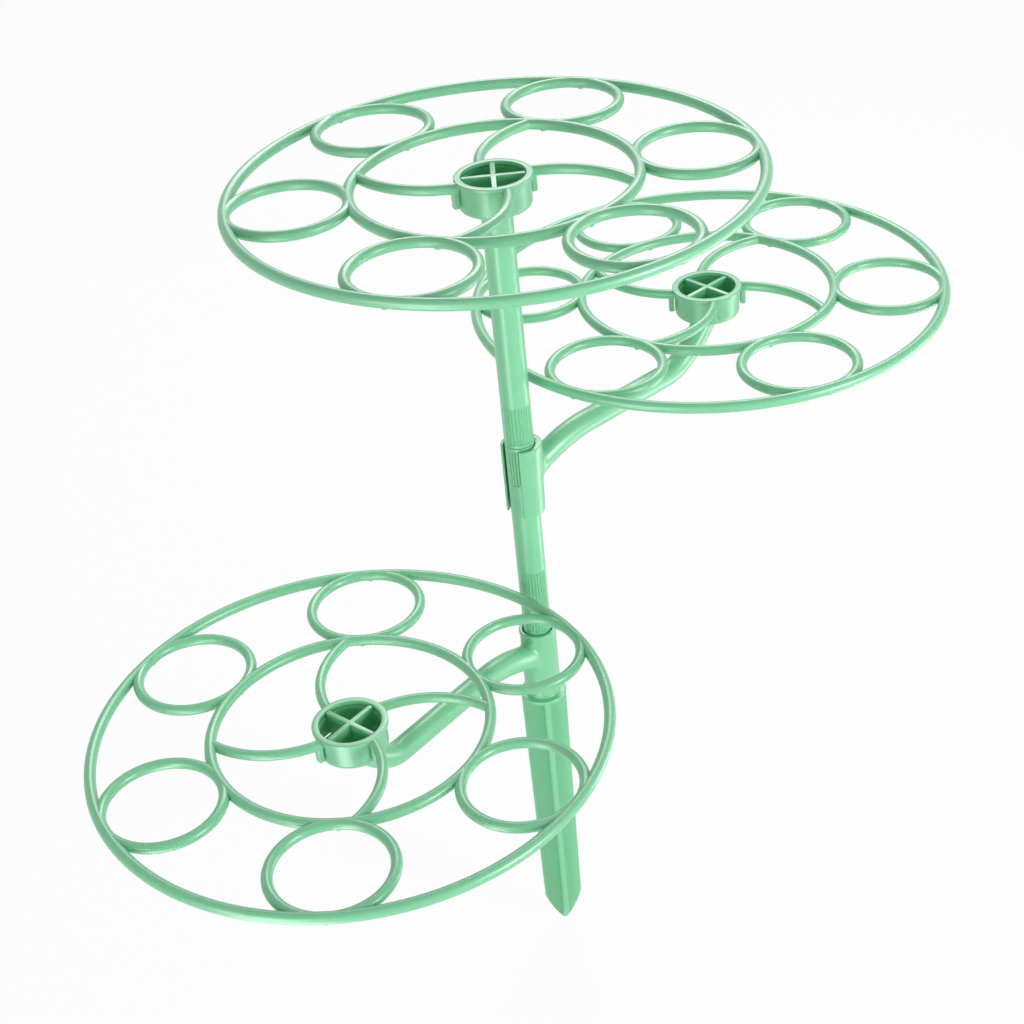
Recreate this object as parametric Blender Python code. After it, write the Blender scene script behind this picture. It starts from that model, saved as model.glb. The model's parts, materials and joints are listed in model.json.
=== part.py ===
"""Plant support rack: three ring trays on a pole with a ground stake.

Metres, +Z up. The origin is on the pole's axis, at the underside of the stake's soil disc.
Every piece is one plastic moulding, and the pieces plug, clip or rest on each other:

ground_stake
    lower_arm          turns round the stake's stub
        tray_lower     turns on the arm's cup
    mid_pole           turns on the stake's spigot
        clip_arm       slides along the pole
            tray_middle
        upper_pole     turns on the middle pole's spigot
            tray_top
"""

import math

import bmesh
import bpy
from mathutils import Matrix, Vector

# Clearances between pieces
END_GAP = 0.0003
SPIGOT_GAP = 0.0003
SLEEVE_GAP = 0.00065
CLIP_GAP = 0.00085
CUP_GAP = 0.00035

# Poles, with one facet for each flute of the grip bands
POLE_R = 0.00815
POLE_SIDES = 30
POLE_WALL = 0.00195
POLE_EDGE = 0.0003
MID_POLE_LENGTH = 0.1152
UPPER_POLE_LENGTH = 0.1388
SPIGOT_LENGTH = 0.020
SPIGOT_LEAD = 0.001
CLOSED_END = 0.004

# Grip flutes, in two opposite sectors of the pole
FLUTES_PER_SECTOR = 9
FLUTE_DEPTH = 0.0006
FLUTE_WIDTH = 0.00115
FLUTE_FLOOR = 0.0005
FLUTE_RAMP = 0.0006
PLAIN_RING = 0.0023
STUB_GRIP = 0.0068
MID_LOW_GRIP = 0.0297
MID_TOP_GRIP = 0.0220
UPPER_GRIP = 0.0227

# Ground stake
STUB_TOP = 0.0595
DISC_R = 0.0137
DISC_THICK = 0.0024
DISC_EDGE = 0.0008
NECK_R = 0.0097
NECK_TOP = 0.0075
FIN_THICK = 0.0034
FIN_TOP_HALF = 0.0134
FIN_LOW_HALF = 0.0117
FIN_LENGTH = 0.1665
TIP_LENGTH = 0.0215
TIP_HALF = 0.0018
TIP_BULGE = 0.0011

# Cups that carry the trays, measured from the tray's plane
CUP_R = 0.0188
CUP_WALL = 0.0026
CUP_FLOOR = 0.0051
CUP_DEPTH = 0.0144
CUP_FILLET = 0.0030
CUP_RIM_R = 0.0194
CUP_RIM_TOP = 0.0006
CUP_RIM_THICK = 0.0013
CROSS_THICK = 0.0027
CROSS_TOP = 0.0026
CROSS_REACH = 0.0163
CROSS_ROUND = 0.0008
DRAIN_LENGTH = 0.0064
DRAIN_WIDTH = 0.0020
DRAIN_FROM_WALL = 0.0009
DRAIN_WEB = 0.0013
DRAIN_NOTCH_BACK = 0.0046

# Arms, the same on the sleeve and on the clip
ARM_R = 0.0066
ARM_REACH = 0.1542
ARM_DROP = 0.0401
ARM_ROOT_RUN = 0.0500
ARM_ROOT_SLOPE = math.radians(34)
ARM_ROOT_EASE = 0.0200
ARM_LIFT_START = 0.1160
ARM_LIFT_EASE = 0.0112
ARM_CUP_SLOPE = math.radians(48)
ARM_CUP_EASE = 0.0158
ARM_INTO_CUP = 0.0056

# Sleeve of the lower arm
SLEEVE_LENGTH = 0.0409
SLEEVE_WALL = 0.00185
SLEEVE_RIM = 0.0003
SLEEVE_RIM_HEIGHT = 0.0024
SLEEVE_ARM_HEIGHT = 0.0355
SLEEVE_ROOT_DROP = 0.0098
SLEEVE_ROOT_FLARE = 1.20

# Snap clip of the middle arm, thick at its back, thin at its lips and slimmer at its foot
CLIP_LENGTH = 0.0430
CLIP_R = 0.01145
CLIP_FOOT_R = 0.01075
CLIP_BORE_SHIFT = -0.0002
CLIP_SHIFT = 0.0012
CLIP_FOOT_SHIFT = 0.00035
CLIP_MOUTH = math.radians(86)
CLIP_ARM_HEIGHT = 0.0338
CLIP_ROOT_DROP = 0.0088
CLIP_ROOT_FLARE = 1.05
CLIP_HEIGHT_ON_POLE = 0.0712

# Trays, measured from their plane
TRAY_R = 0.1350
TRAY_ROD_R = 0.0031
INNER_RING_R = 0.0732
INNER_ROD_R = 0.0030
SMALL_RINGS = 6
SMALL_ROD_R = 0.0029
SPOKES = 4
SPOKE_ROD_R = 0.0028
SPOKE_END_TURN = math.radians(6.1)
SPOKE_SWEEP = math.radians(37.5)
SPOKE_BOW = 0.0092
COLLAR_R = 0.0201
COLLAR_TOP = 0.0031
COLLAR_ROUND = 0.0005
TAB_OUT_R = 0.0225
TAB_WIDTH = 0.0043
TAB_TOP = 0.0014
TAB_DROP = 0.0106
TAB_TURN = math.radians(-2.2)

# Facets of the round shapes
CUP_SIDES = 24
FILLET_STEPS = 3
CLEAR_SIDES = 32
ROD_SIDES = 6
OUTER_STEPS = 48
INNER_STEPS = 32
SMALL_STEPS = 16
SPOKE_STEPS = 6
TIP_STEPS = 4
ARM_SIDES = 10
ARM_STEPS = 4

# How the pieces are turned about Z in the photographed set-up
STAKE_TURN = math.radians(-84.5)
MID_POLE_TURN = math.radians(-85)
UPPER_POLE_TURN = math.radians(-85)
TOP_CROSS_TURN = math.radians(85)
LOWER_ARM_TURN = math.radians(228.73)
CLIP_ARM_TURN = math.radians(40.47)
TOP_TRAY_TURN = math.radians(66.7)
MIDDLE_TRAY_TURN = math.radians(50.5)
LOWER_TRAY_TURN = math.radians(86.7)

# Sizes that follow from the ones above
FLUTE_PITCH = 2 * math.pi / POLE_SIDES
SOCKET_R = POLE_R - POLE_WALL
SPIGOT_R = SOCKET_R - SPIGOT_GAP
SLEEVE_BOTTOM = NECK_TOP + END_GAP
SLEEVE_BORE_R = POLE_R + SLEEVE_GAP
SLEEVE_R = SLEEVE_BORE_R + SLEEVE_WALL
CLIP_BORE_R = POLE_R + CLIP_GAP
CUP_BORE_R = CUP_R - CUP_WALL
SMALL_RING_R = (TRAY_R - INNER_RING_R) / 2
SMALL_CENTRE_R = (TRAY_R + INNER_RING_R) / 2
COLLAR_BASE = CUP_RIM_TOP + END_GAP
COLLAR_HOLE_R = CROSS_REACH + CUP_GAP
CUP_CLEAR_R = CUP_RIM_R + CUP_GAP
SPOKE_ROOT_R = (COLLAR_R + COLLAR_HOLE_R) / 2
SPOKE_ROOT_TURN = SPOKE_END_TURN + SPOKE_SWEEP

# How far a cutter runs past the face it cuts, and how far joined shapes sink in
PAST = 0.004
SINK = 0.0008

# Looks
MINT = (0.300, 0.700, 0.430)
ROUGHNESS = 0.38
SMOOTH_ANGLE = math.radians(40)


def new_object(name, mesh):
    """Put a mesh into the scene under a name."""
    item = bpy.data.objects.new(name, mesh)
    bpy.context.collection.objects.link(item)
    return item


def from_bmesh(name, bm):
    """Close up a bmesh, turn its faces outward and put it into the scene."""
    bmesh.ops.remove_doubles(bm, verts=bm.verts, dist=1e-6)
    bmesh.ops.recalc_face_normals(bm, faces=bm.faces)
    mesh = bpy.data.meshes.new(name)
    bm.to_mesh(mesh)
    bm.free()
    return new_object(name, mesh)


def evaluated_mesh(item):
    """The mesh of an object with its modifiers or its curve bevel worked out."""
    bpy.context.view_layer.update()
    depsgraph = bpy.context.evaluated_depsgraph_get()
    return bpy.data.meshes.new_from_object(item.evaluated_get(depsgraph))


def combine(body, other, operation):
    """Join, cut or trim a body with another shape, which is used up."""
    modifier = body.modifiers.new(operation.title(), "BOOLEAN")
    modifier.operation = operation
    modifier.object = other
    old = body.data
    result = evaluated_mesh(body)
    body.modifiers.clear()
    body.data = result
    bpy.data.meshes.remove(old)
    bpy.data.objects.remove(other)
    return body


def join(body, other):
    return combine(body, other, "UNION")


def cut(body, other):
    return combine(body, other, "DIFFERENCE")


def turned(profile, sides, closed=False, phase=0.0):
    """Spin a profile of (radius, height) points about Z, from top to bottom."""
    bm = bmesh.new()
    start = Matrix.Rotation(phase, 4, "Z")
    verts = [bm.verts.new(start @ Vector((radius, 0, height))) for radius, height in profile]
    pairs = list(zip(verts, verts[1:]))
    if closed:
        pairs.append((verts[-1], verts[0]))
    edges = [bm.edges.new(pair) for pair in pairs]
    bmesh.ops.spin(
        bm,
        geom=verts + edges,
        cent=(0, 0, 0),
        axis=(0, 0, 1),
        angle=2 * math.pi,
        steps=sides,
        use_merge=True,
    )
    bmesh.ops.remove_doubles(bm, verts=bm.verts, dist=1e-6)
    on_axis = [vert for vert in bm.verts if vert.co.xy.length < 1e-6]
    bmesh.ops.dissolve_verts(bm, verts=on_axis)
    return from_bmesh("turned", bm)


def cylinder(radius, low, high, sides, phase=0.0):
    """A plain round bar along Z."""
    return turned([(0, high), (radius, high), (radius, low), (0, low)], sides, phase=phase)


def extruded(outline, length, frame):
    """Push a flat outline in the frame's XY plane along the frame's Z, half each way."""
    bm = bmesh.new()
    back = Matrix.Translation((0, 0, -length / 2))
    face = bm.faces.new([bm.verts.new(back @ Vector((x, y, 0))) for x, y in outline])
    moved = bmesh.ops.extrude_face_region(bm, geom=[face])["geom"]
    front = [item for item in moved if isinstance(item, bmesh.types.BMVert)]
    bmesh.ops.translate(bm, verts=front, vec=(0, 0, length))
    bmesh.ops.transform(bm, matrix=frame, verts=bm.verts)
    return from_bmesh("extruded", bm)


def block(x_range, y_range, z_range, turn=0.0):
    """A box between two limits on each axis, turned about Z."""
    outline = [(x_range[0], y_range[0]), (x_range[1], y_range[0])]
    outline += [(x_range[1], y_range[1]), (x_range[0], y_range[1])]
    middle = Matrix.Translation((0, 0, (z_range[0] + z_range[1]) / 2))
    return extruded(outline, z_range[1] - z_range[0], Matrix.Rotation(turn, 4, "Z") @ middle)


def plate(outline, thickness, turn=0.0):
    """An upright plate from an outline of (distance, height) points, turned about Z."""
    upright = Matrix.Rotation(math.pi / 2, 4, "X")
    return extruded(outline, thickness, Matrix.Rotation(turn, 4, "Z") @ upright)


def corner_r(radius, sides):
    """How far out a polygon's corners lie when its mean width is that of the round shape."""
    return radius * (math.pi / sides) / math.sin(math.pi / sides)


def ring(radius, rod_r, steps, centre=(0, 0), phase=0.0):
    """A ring of round rod lying flat."""
    ring_r = corner_r(radius, steps)
    rod_corner = corner_r(rod_r, ROD_SIDES)
    profile = []
    for index in range(ROD_SIDES):
        angle = -2 * math.pi * index / ROD_SIDES
        profile.append((ring_r + rod_corner * math.cos(angle), rod_corner * math.sin(angle)))
    item = turned(profile, steps, closed=True, phase=phase)
    item.data.transform(Matrix.Translation((centre[0], centre[1], 0)))
    return item


def rod_from_curve(curve, rod_r, sides):
    """Turn a curve into a round rod with closed ends and an even number of sides."""
    curve.dimensions = "3D"
    curve.bevel_depth = corner_r(rod_r, sides)
    curve.bevel_resolution = (sides - 4) // 2
    curve.use_fill_caps = True
    guide = bpy.data.objects.new("guide", curve)
    bpy.context.collection.objects.link(guide)
    bm = bmesh.new()
    mesh = evaluated_mesh(guide)
    bm.from_mesh(mesh)
    bpy.data.objects.remove(guide)
    bpy.data.meshes.remove(mesh)
    return from_bmesh("rod", bm)


def round_corner(centre, radius, first, last, steps):
    """Points of an arc about a centre, in a profile's (radius, height) plane."""
    points = []
    for index in range(steps + 1):
        angle = first + (last - first) * index / steps
        points.append((centre[0] + radius * math.cos(angle), centre[1] + radius * math.sin(angle)))
    return points


# Poles

def pole_profile(low, high):
    """A plain pole with lightly broken end edges and a spigot on top."""
    return [
        (0, high + SPIGOT_LENGTH),
        (SPIGOT_R - SPIGOT_LEAD, high + SPIGOT_LENGTH),
        (SPIGOT_R, high + SPIGOT_LENGTH - SPIGOT_LEAD),
        (SPIGOT_R, high),
        (POLE_R - POLE_EDGE, high),
        (POLE_R, high - POLE_EDGE),
        (POLE_R, low + POLE_EDGE),
        (POLE_R - POLE_EDGE, low),
        (0, low),
    ]


def flute(turn, low, high):
    """A cutter for one groove: a long bar whose sides and ends slope in towards its floor."""
    bm = bmesh.new()
    bmesh.ops.create_cube(bm, size=1)
    floor_x = POLE_R * math.cos(FLUTE_PITCH / 2) - FLUTE_DEPTH
    rise = 2 * FLUTE_DEPTH
    spread = FLUTE_FLOOR + (FLUTE_WIDTH - FLUTE_FLOOR) * rise / FLUTE_DEPTH
    for vert in bm.verts:
        outer = vert.co.x > 0
        width = spread if outer else FLUTE_FLOOR
        length = high - low if outer else high - low - 2 * FLUTE_RAMP
        vert.co.x = floor_x + rise if outer else floor_x
        vert.co.y *= width
        vert.co.z = (low + high) / 2 + vert.co.z * length
    bmesh.ops.transform(bm, matrix=Matrix.Rotation(turn, 4, "Z"), verts=bm.verts)
    return bm


def cut_flutes(pole, low, high):
    """Cut one grip band: two opposite sectors of grooves, one on each facet."""
    merged = bmesh.new()
    for sector in (0, math.pi):
        for index in range(FLUTES_PER_SECTOR):
            turn = sector + (index - (FLUTES_PER_SECTOR - 1) / 2) * FLUTE_PITCH
            groove = flute(turn, low, high)
            mesh = bpy.data.meshes.new("flute")
            groove.to_mesh(mesh)
            groove.free()
            merged.from_mesh(mesh)
            bpy.data.meshes.remove(mesh)
    return cut(pole, from_bmesh("flutes", merged))


def build_mid_pole():
    """A tube closed at its top, with a spigot above and a socket below."""
    body = turned(pole_profile(0, MID_POLE_LENGTH), POLE_SIDES, phase=FLUTE_PITCH / 2)
    cut(body, cylinder(SOCKET_R, -PAST, MID_POLE_LENGTH - CLOSED_END, CUP_SIDES))
    cut_flutes(body, PLAIN_RING, PLAIN_RING + MID_LOW_GRIP)
    top = MID_POLE_LENGTH - PLAIN_RING
    return cut_flutes(body, top - MID_TOP_GRIP, top)


def build_upper_pole():
    """A tube with a socket below and the top cup moulded on its upper end."""
    profile = [
        (0, UPPER_POLE_LENGTH + SINK),
        (POLE_R, UPPER_POLE_LENGTH + SINK),
        (POLE_R, POLE_EDGE),
        (POLE_R - POLE_EDGE, 0),
        (0, 0),
    ]
    body = turned(profile, POLE_SIDES, phase=FLUTE_PITCH / 2)
    cut(body, cylinder(SOCKET_R, -PAST, UPPER_POLE_LENGTH - CLOSED_END, CUP_SIDES))
    cut_flutes(body, PLAIN_RING, PLAIN_RING + UPPER_GRIP)
    plane = (0, 0, UPPER_POLE_LENGTH + CUP_DEPTH)
    join(body, cup_outside(plane))
    return finish_cup(body, plane, TOP_CROSS_TURN)


# Ground stake

def stake_top():
    """Soil disc, neck, stub and spigot, turned in one."""
    profile = pole_profile(0, STUB_TOP)[:6]
    profile += [
        (POLE_R, NECK_TOP),
        (NECK_R, NECK_TOP),
        (NECK_R, DISC_THICK),
        (DISC_R - DISC_EDGE, DISC_THICK),
        (DISC_R, DISC_THICK - DISC_EDGE),
        (DISC_R, DISC_EDGE),
        (DISC_R - DISC_EDGE, 0),
        (0, 0),
    ]
    return turned(profile, POLE_SIDES, phase=FLUTE_PITCH / 2)


def fin_outline():
    """Both fins of one plate: a slow taper, then a full point with a blunt end."""
    right = []
    for index in range(TIP_STEPS + 1):
        part = index / TIP_STEPS
        straight = TIP_HALF + (FIN_LOW_HALF - TIP_HALF) * part
        bulge = TIP_BULGE * 4 * part * (1 - part)
        right.append((straight + bulge, -FIN_LENGTH - TIP_LENGTH * (1 - part)))
    right += [(FIN_TOP_HALF, 0), (FIN_TOP_HALF, DISC_THICK / 2)]
    left = [(-distance, height) for distance, height in reversed(right)]
    return right + left


def build_stake():
    """Two crossed fin plates under the disc, and the fluted stub above it."""
    body = stake_top()
    cut_flutes(body, STUB_TOP - PLAIN_RING - STUB_GRIP, STUB_TOP - PLAIN_RING)
    fins = plate(fin_outline(), FIN_THICK)
    join(fins, plate(fin_outline(), FIN_THICK, math.pi / 2))
    return join(body, fins)


# Cups

def cup_outside(plane):
    """A solid cup, to be hollowed once the arm or pole has been joined to it."""
    rim_low = CUP_RIM_TOP - CUP_RIM_THICK
    corner = (CUP_R - CUP_FILLET, CUP_FILLET - CUP_DEPTH)
    profile = [(0, CUP_RIM_TOP), (CUP_RIM_R, CUP_RIM_TOP), (CUP_RIM_R, rim_low), (CUP_R, rim_low)]
    profile += round_corner(corner, CUP_FILLET, 0, -math.pi / 2, FILLET_STEPS)
    profile.append((0, -CUP_DEPTH))
    item = turned(profile, CUP_SIDES)
    item.data.transform(Matrix.Translation(plane))
    return item


def cross_outline():
    """One wall of the cup's cross: wide in the cup, narrower where it stands in the collar."""
    low = CUP_FLOOR - CUP_DEPTH - SINK
    right = [
        (CUP_BORE_R + SINK, low),
        (CUP_BORE_R + SINK, CUP_RIM_TOP - CUP_RIM_THICK),
        (CROSS_REACH, CUP_RIM_TOP - CUP_RIM_THICK),
        (CROSS_REACH, CROSS_TOP - CROSS_ROUND),
        (CROSS_REACH - CROSS_ROUND, CROSS_TOP),
    ]
    left = [(-distance, height) for distance, height in reversed(right)]
    return right + left


def finish_cup(body, plane, cross_turn):
    """Hollow the cup and stand the cross in it."""
    hollow = cylinder(CUP_BORE_R, CUP_FLOOR - CUP_DEPTH, CUP_RIM_TOP + PAST, CUP_SIDES)
    hollow.data.transform(Matrix.Translation(plane))
    cut(body, hollow)
    cross = plate(cross_outline(), CROSS_THICK, cross_turn)
    join(cross, plate(cross_outline(), CROSS_THICK, cross_turn + math.pi / 2))
    cross.data.transform(Matrix.Translation(plane))
    return join(body, cross)


def cut_drain(body, plane):
    """A slot through the cup's floor beside the cross, over a notch that opens below and outward."""
    start = plane[0] + CROSS_THICK / 2 + END_GAP
    end = start + DRAIN_LENGTH
    outer = DRAIN_FROM_WALL - CUP_BORE_R
    low = plane[2] - CUP_DEPTH - PAST
    floor = plane[2] - CUP_DEPTH + CUP_FLOOR
    cut(body, block((start, end), (outer, outer + DRAIN_WIDTH), (low, floor + SINK)))
    across = (-CUP_R - PAST, outer + DRAIN_WIDTH + SINK)
    return cut(body, block((start - DRAIN_NOTCH_BACK, end), across, (low, floor - DRAIN_WEB)))


# Arms

def arm_rod(height, root_drop, root_flare):
    """The round arm along +X: it leaves the pole rising, runs level, then climbs to the cup."""
    root = Vector((SLEEVE_R, 0, height - root_drop))
    root_way = Vector((math.cos(ARM_ROOT_SLOPE), 0, math.sin(ARM_ROOT_SLOPE)))
    cup_way = Vector((math.cos(ARM_CUP_SLOPE), 0, math.sin(ARM_CUP_SLOPE)))
    foot = Vector((ARM_REACH, 0, height + ARM_DROP - CUP_DEPTH))
    lead = ARM_R * math.tan(ARM_CUP_SLOPE / 2)
    level = Vector((1, 0, 0))
    stations = [
        (root - root_way * ARM_R, root_way, ARM_R, ARM_R, root_flare),
        (Vector((ARM_ROOT_RUN, 0, height)), level, ARM_ROOT_EASE, ARM_R, 1.0),
        (Vector((ARM_LIFT_START, 0, height)), level, ARM_R, ARM_LIFT_EASE, 1.0),
        (foot - cup_way * lead, cup_way, ARM_CUP_EASE, ARM_R, 1.0),
        (foot + cup_way * ARM_INTO_CUP, cup_way, ARM_R / 2, ARM_R, 1.0),
    ]
    curve = bpy.data.curves.new("arm", "CURVE")
    curve.resolution_u = ARM_STEPS
    spline = curve.splines.new("BEZIER")
    spline.bezier_points.add(len(stations) - 1)
    for knot, (place, way, before, after, swell) in zip(spline.bezier_points, stations):
        knot.handle_left_type = "FREE"
        knot.handle_right_type = "FREE"
        knot.co = place
        knot.handle_left = place - way * before
        knot.handle_right = place + way * after
        knot.radius = swell
    return rod_from_curve(curve, ARM_R, ARM_SIDES)


def build_lower_arm():
    """A sleeve that stands on the stake's neck, with the arm and cup moulded on."""
    rim_r = SLEEVE_R + SLEEVE_RIM
    rim_low = SLEEVE_LENGTH - SLEEVE_RIM_HEIGHT
    profile = [
        (0, SLEEVE_LENGTH),
        (rim_r - SLEEVE_RIM, SLEEVE_LENGTH),
        (rim_r, SLEEVE_LENGTH - SLEEVE_RIM),
        (rim_r, rim_low + SLEEVE_RIM),
        (SLEEVE_R, rim_low),
        (SLEEVE_R, 0),
        (0, 0),
    ]
    plane = (ARM_REACH, 0, SLEEVE_ARM_HEIGHT + ARM_DROP)
    body = turned(profile, CUP_SIDES)
    join(body, arm_rod(SLEEVE_ARM_HEIGHT, SLEEVE_ROOT_DROP, SLEEVE_ROOT_FLARE))
    join(body, cup_outside(plane))
    cut(body, cylinder(SLEEVE_BORE_R, -PAST, SLEEVE_LENGTH + PAST, POLE_SIDES))
    finish_cup(body, plane, 0)
    return cut_drain(body, plane)


def clip_outside():
    """The clip's outer round, which leans towards the arm as it rises."""
    profile = [(0, CLIP_LENGTH), (CLIP_R, CLIP_LENGTH), (CLIP_FOOT_R, 0), (0, 0)]
    item = turned(profile, POLE_SIDES)
    for vert in item.data.vertices:
        vert.co.x += CLIP_FOOT_SHIFT + (CLIP_SHIFT - CLIP_FOOT_SHIFT) * vert.co.z / CLIP_LENGTH
    return item


def build_clip_arm():
    """A snap clip that grips the pole, open away from the arm, with the arm and cup moulded on."""
    plane = (ARM_REACH, 0, CLIP_ARM_HEIGHT + ARM_DROP)
    body = clip_outside()
    join(body, arm_rod(CLIP_ARM_HEIGHT, CLIP_ROOT_DROP, CLIP_ROOT_FLARE))
    join(body, cup_outside(plane))
    bore = cylinder(CLIP_BORE_R, -PAST, CLIP_LENGTH + PAST, POLE_SIDES)
    bore.data.transform(Matrix.Translation((CLIP_BORE_SHIFT, 0, 0)))
    cut(body, bore)
    side = CLIP_R * 2
    spread = side * math.tan(CLIP_MOUTH / 2)
    mouth = [(CLIP_BORE_SHIFT, 0), (CLIP_BORE_SHIFT - side, spread), (CLIP_BORE_SHIFT - side, -spread)]
    middle = Matrix.Translation((0, 0, CLIP_LENGTH / 2))
    cut(body, extruded(mouth, CLIP_LENGTH + 2 * PAST, middle))
    finish_cup(body, plane, 0)
    return cut_drain(body, plane)


# Trays

def spoke(turn):
    """A curved spoke from the collar to the inner ring, bowed to its left."""
    root = Matrix.Rotation(turn + SPOKE_ROOT_TURN, 4, "Z") @ Vector((SPOKE_ROOT_R, 0, 0))
    end = Matrix.Rotation(turn + SPOKE_END_TURN, 4, "Z") @ Vector((INNER_RING_R, 0, 0))
    chord = end - root
    half = chord.length / 2
    arc_r = (half ** 2 + SPOKE_BOW ** 2) / (2 * SPOKE_BOW)
    left = Vector((-chord.y, chord.x, 0)).normalized()
    centre = (root + end) / 2 - left * (arc_r - SPOKE_BOW)
    half_angle = math.asin(half / arc_r)
    curve = bpy.data.curves.new("spoke", "CURVE")
    spline = curve.splines.new("POLY")
    spline.points.add(SPOKE_STEPS)
    for index, point in enumerate(spline.points):
        angle = half_angle * (1 - 2 * index / SPOKE_STEPS)
        place = centre + Matrix.Rotation(angle, 3, "Z") @ left * arc_r
        point.co = (place.x, place.y, place.z, 1)
    return rod_from_curve(curve, SPOKE_ROD_R, ROD_SIDES)


def collar():
    """The flat ring that rests on the cup's rim."""
    profile = [
        (COLLAR_HOLE_R, COLLAR_BASE),
        (COLLAR_HOLE_R, COLLAR_TOP),
        (COLLAR_R - COLLAR_ROUND, COLLAR_TOP),
        (COLLAR_R, COLLAR_TOP - COLLAR_ROUND),
        (COLLAR_R, COLLAR_BASE),
    ]
    return turned(profile, CUP_SIDES, closed=True)


def build_tray():
    """Outer ring, six small rings, inner ring, four spokes, collar and four hanging tabs."""
    body = ring(TRAY_R, TRAY_ROD_R, OUTER_STEPS)
    for index in range(SMALL_RINGS):
        turn = 2 * math.pi * index / SMALL_RINGS
        centre = (SMALL_CENTRE_R * math.cos(turn), SMALL_CENTRE_R * math.sin(turn))
        phase = turn + math.pi / SMALL_STEPS
        join(body, ring(SMALL_RING_R, SMALL_ROD_R, SMALL_STEPS, centre, phase))
    join(body, ring(INNER_RING_R, INNER_ROD_R, INNER_STEPS))
    hub = collar()
    for index in range(SPOKES):
        turn = 2 * math.pi * index / SPOKES
        reach = (SPOKE_ROOT_R, TAB_OUT_R)
        width = (-TAB_WIDTH / 2, TAB_WIDTH / 2)
        join(hub, spoke(turn))
        join(hub, block(reach, width, (-TAB_DROP, TAB_TOP), turn + SPOKE_ROOT_TURN + TAB_TURN))
    cut(hub, cylinder(CUP_CLEAR_R, -TAB_DROP - PAST, COLLAR_BASE, CLEAR_SIDES))
    return join(body, hub)


# Finish

def plastic(name):
    """Satin moulded plastic for one piece."""
    material = bpy.data.materials.new(name)
    material.use_nodes = True
    shader = material.node_tree.nodes["Principled BSDF"]
    shader.inputs["Base Color"].default_value = (*MINT, 1)
    shader.inputs["Roughness"].default_value = ROUGHNESS
    shader.inputs["Metallic"].default_value = 0
    material.diffuse_color = (*MINT, 1)
    return material


def place(item, name, parent, location, turn):
    """Name a piece, stand it on its joint's axis and shade it."""
    item.name = name
    item.parent = parent
    item.location = location
    item.rotation_euler = (0, 0, turn)
    item.data.materials.clear()
    item.data.materials.append(None)
    item.material_slots[0].link = "OBJECT"
    item.material_slots[0].material = plastic(name + "_plastic")
    item.data.shade_smooth()
    item.data.set_sharp_from_angle(angle=SMOOTH_ANGLE)
    return item


def main():
    for item in list(bpy.data.objects):
        bpy.data.objects.remove(item)

    stake = place(build_stake(), "ground_stake", None, (0, 0, 0), STAKE_TURN)

    arm_turn = LOWER_ARM_TURN - STAKE_TURN
    lower = place(build_lower_arm(), "lower_arm", stake, (0, 0, SLEEVE_BOTTOM), arm_turn)

    pole_base = (0, 0, STUB_TOP + END_GAP)
    middle = place(build_mid_pole(), "mid_pole", stake, pole_base, MID_POLE_TURN - STAKE_TURN)

    clip_base = (0, 0, CLIP_HEIGHT_ON_POLE)
    clip = place(build_clip_arm(), "clip_arm", middle, clip_base, CLIP_ARM_TURN - MID_POLE_TURN)

    upper_base = (0, 0, MID_POLE_LENGTH + END_GAP)
    upper_turn = UPPER_POLE_TURN - MID_POLE_TURN
    upper = place(build_upper_pole(), "upper_pole", middle, upper_base, upper_turn)

    top_plane = (0, 0, UPPER_POLE_LENGTH + CUP_DEPTH)
    clip_plane = (ARM_REACH, 0, CLIP_ARM_HEIGHT + ARM_DROP)
    lower_plane = (ARM_REACH, 0, SLEEVE_ARM_HEIGHT + ARM_DROP)
    tray = build_tray()
    place(new_object("tray", tray.data), "tray_middle", clip, clip_plane, MIDDLE_TRAY_TURN - CLIP_ARM_TURN)
    place(new_object("tray", tray.data), "tray_lower", lower, lower_plane, LOWER_TRAY_TURN - LOWER_ARM_TURN)
    place(tray, "tray_top", upper, top_plane, TOP_TRAY_TURN - UPPER_POLE_TURN)
    bpy.context.view_layer.update()


main()
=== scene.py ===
"""Fine mouldings, finish and studio for the plant support rack.

Run it as a script. Each piece is modelled on its own axis in metres, with +Z up. It is then moved
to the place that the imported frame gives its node, and rides on that node's body.
"""

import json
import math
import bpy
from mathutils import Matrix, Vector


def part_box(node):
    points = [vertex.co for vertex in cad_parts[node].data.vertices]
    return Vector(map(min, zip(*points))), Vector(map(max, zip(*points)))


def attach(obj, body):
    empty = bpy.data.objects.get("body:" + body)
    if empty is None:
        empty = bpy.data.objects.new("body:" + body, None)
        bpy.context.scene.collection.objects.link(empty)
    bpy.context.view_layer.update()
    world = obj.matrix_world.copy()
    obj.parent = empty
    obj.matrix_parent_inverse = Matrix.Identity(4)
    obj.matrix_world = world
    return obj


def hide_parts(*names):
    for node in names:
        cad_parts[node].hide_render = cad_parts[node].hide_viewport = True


bl_info = {
    "name": "Plant Support Rack",
    "version": (1, 0, 0),
    "blender": (4, 5, 0),
    "location": "View3D > Sidebar > Rack",
    "description": "Models the mouldings of a plant support rack and sets up its studio",
    "category": "Object",
}

import bpy
from bpy.props import FloatProperty, FloatVectorProperty, IntProperty, PointerProperty
from bpy.types import Operator, Panel, PropertyGroup
from mathutils import Matrix, Vector

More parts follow.
